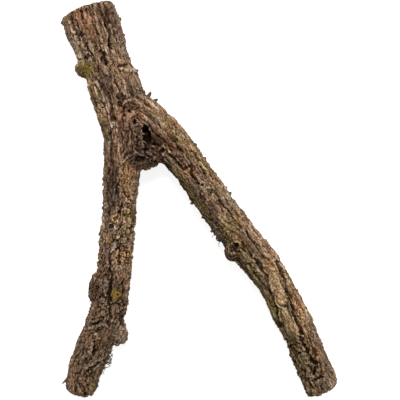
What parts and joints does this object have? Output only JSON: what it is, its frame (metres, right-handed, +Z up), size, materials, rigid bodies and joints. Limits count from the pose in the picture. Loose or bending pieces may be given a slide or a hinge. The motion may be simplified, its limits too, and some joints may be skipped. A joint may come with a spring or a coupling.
{
  "type": "fallen tree branch",
  "caption": "Forked fallen tree branch with rough furrowed bark, a sawn stem end, a knot hole at the crotch and blunt weathered limb tips.",
  "frame": {"origin": "on the ground, under the middle of the branch's bounding box as it lies", "axes": "+Z up; +Y along the branch, from the limb tips to the sawn end of the main stem; +X to the side of the longer right limb"},
  "size_m": [0.3502, 0.5026, 0.0724],
  "materials": {
    "bark": "dry, deeply furrowed grey-brown bark with tan ridge tops and dark clefts",
    "lichen": "matt mustard and grey-green lichen, in cushions and small tufts"
  },
  "bodies": {
    "root": {"main_stem": "bark", "left_limb": "bark", "right_limb": "bark"}
  },
  "joints": []
}
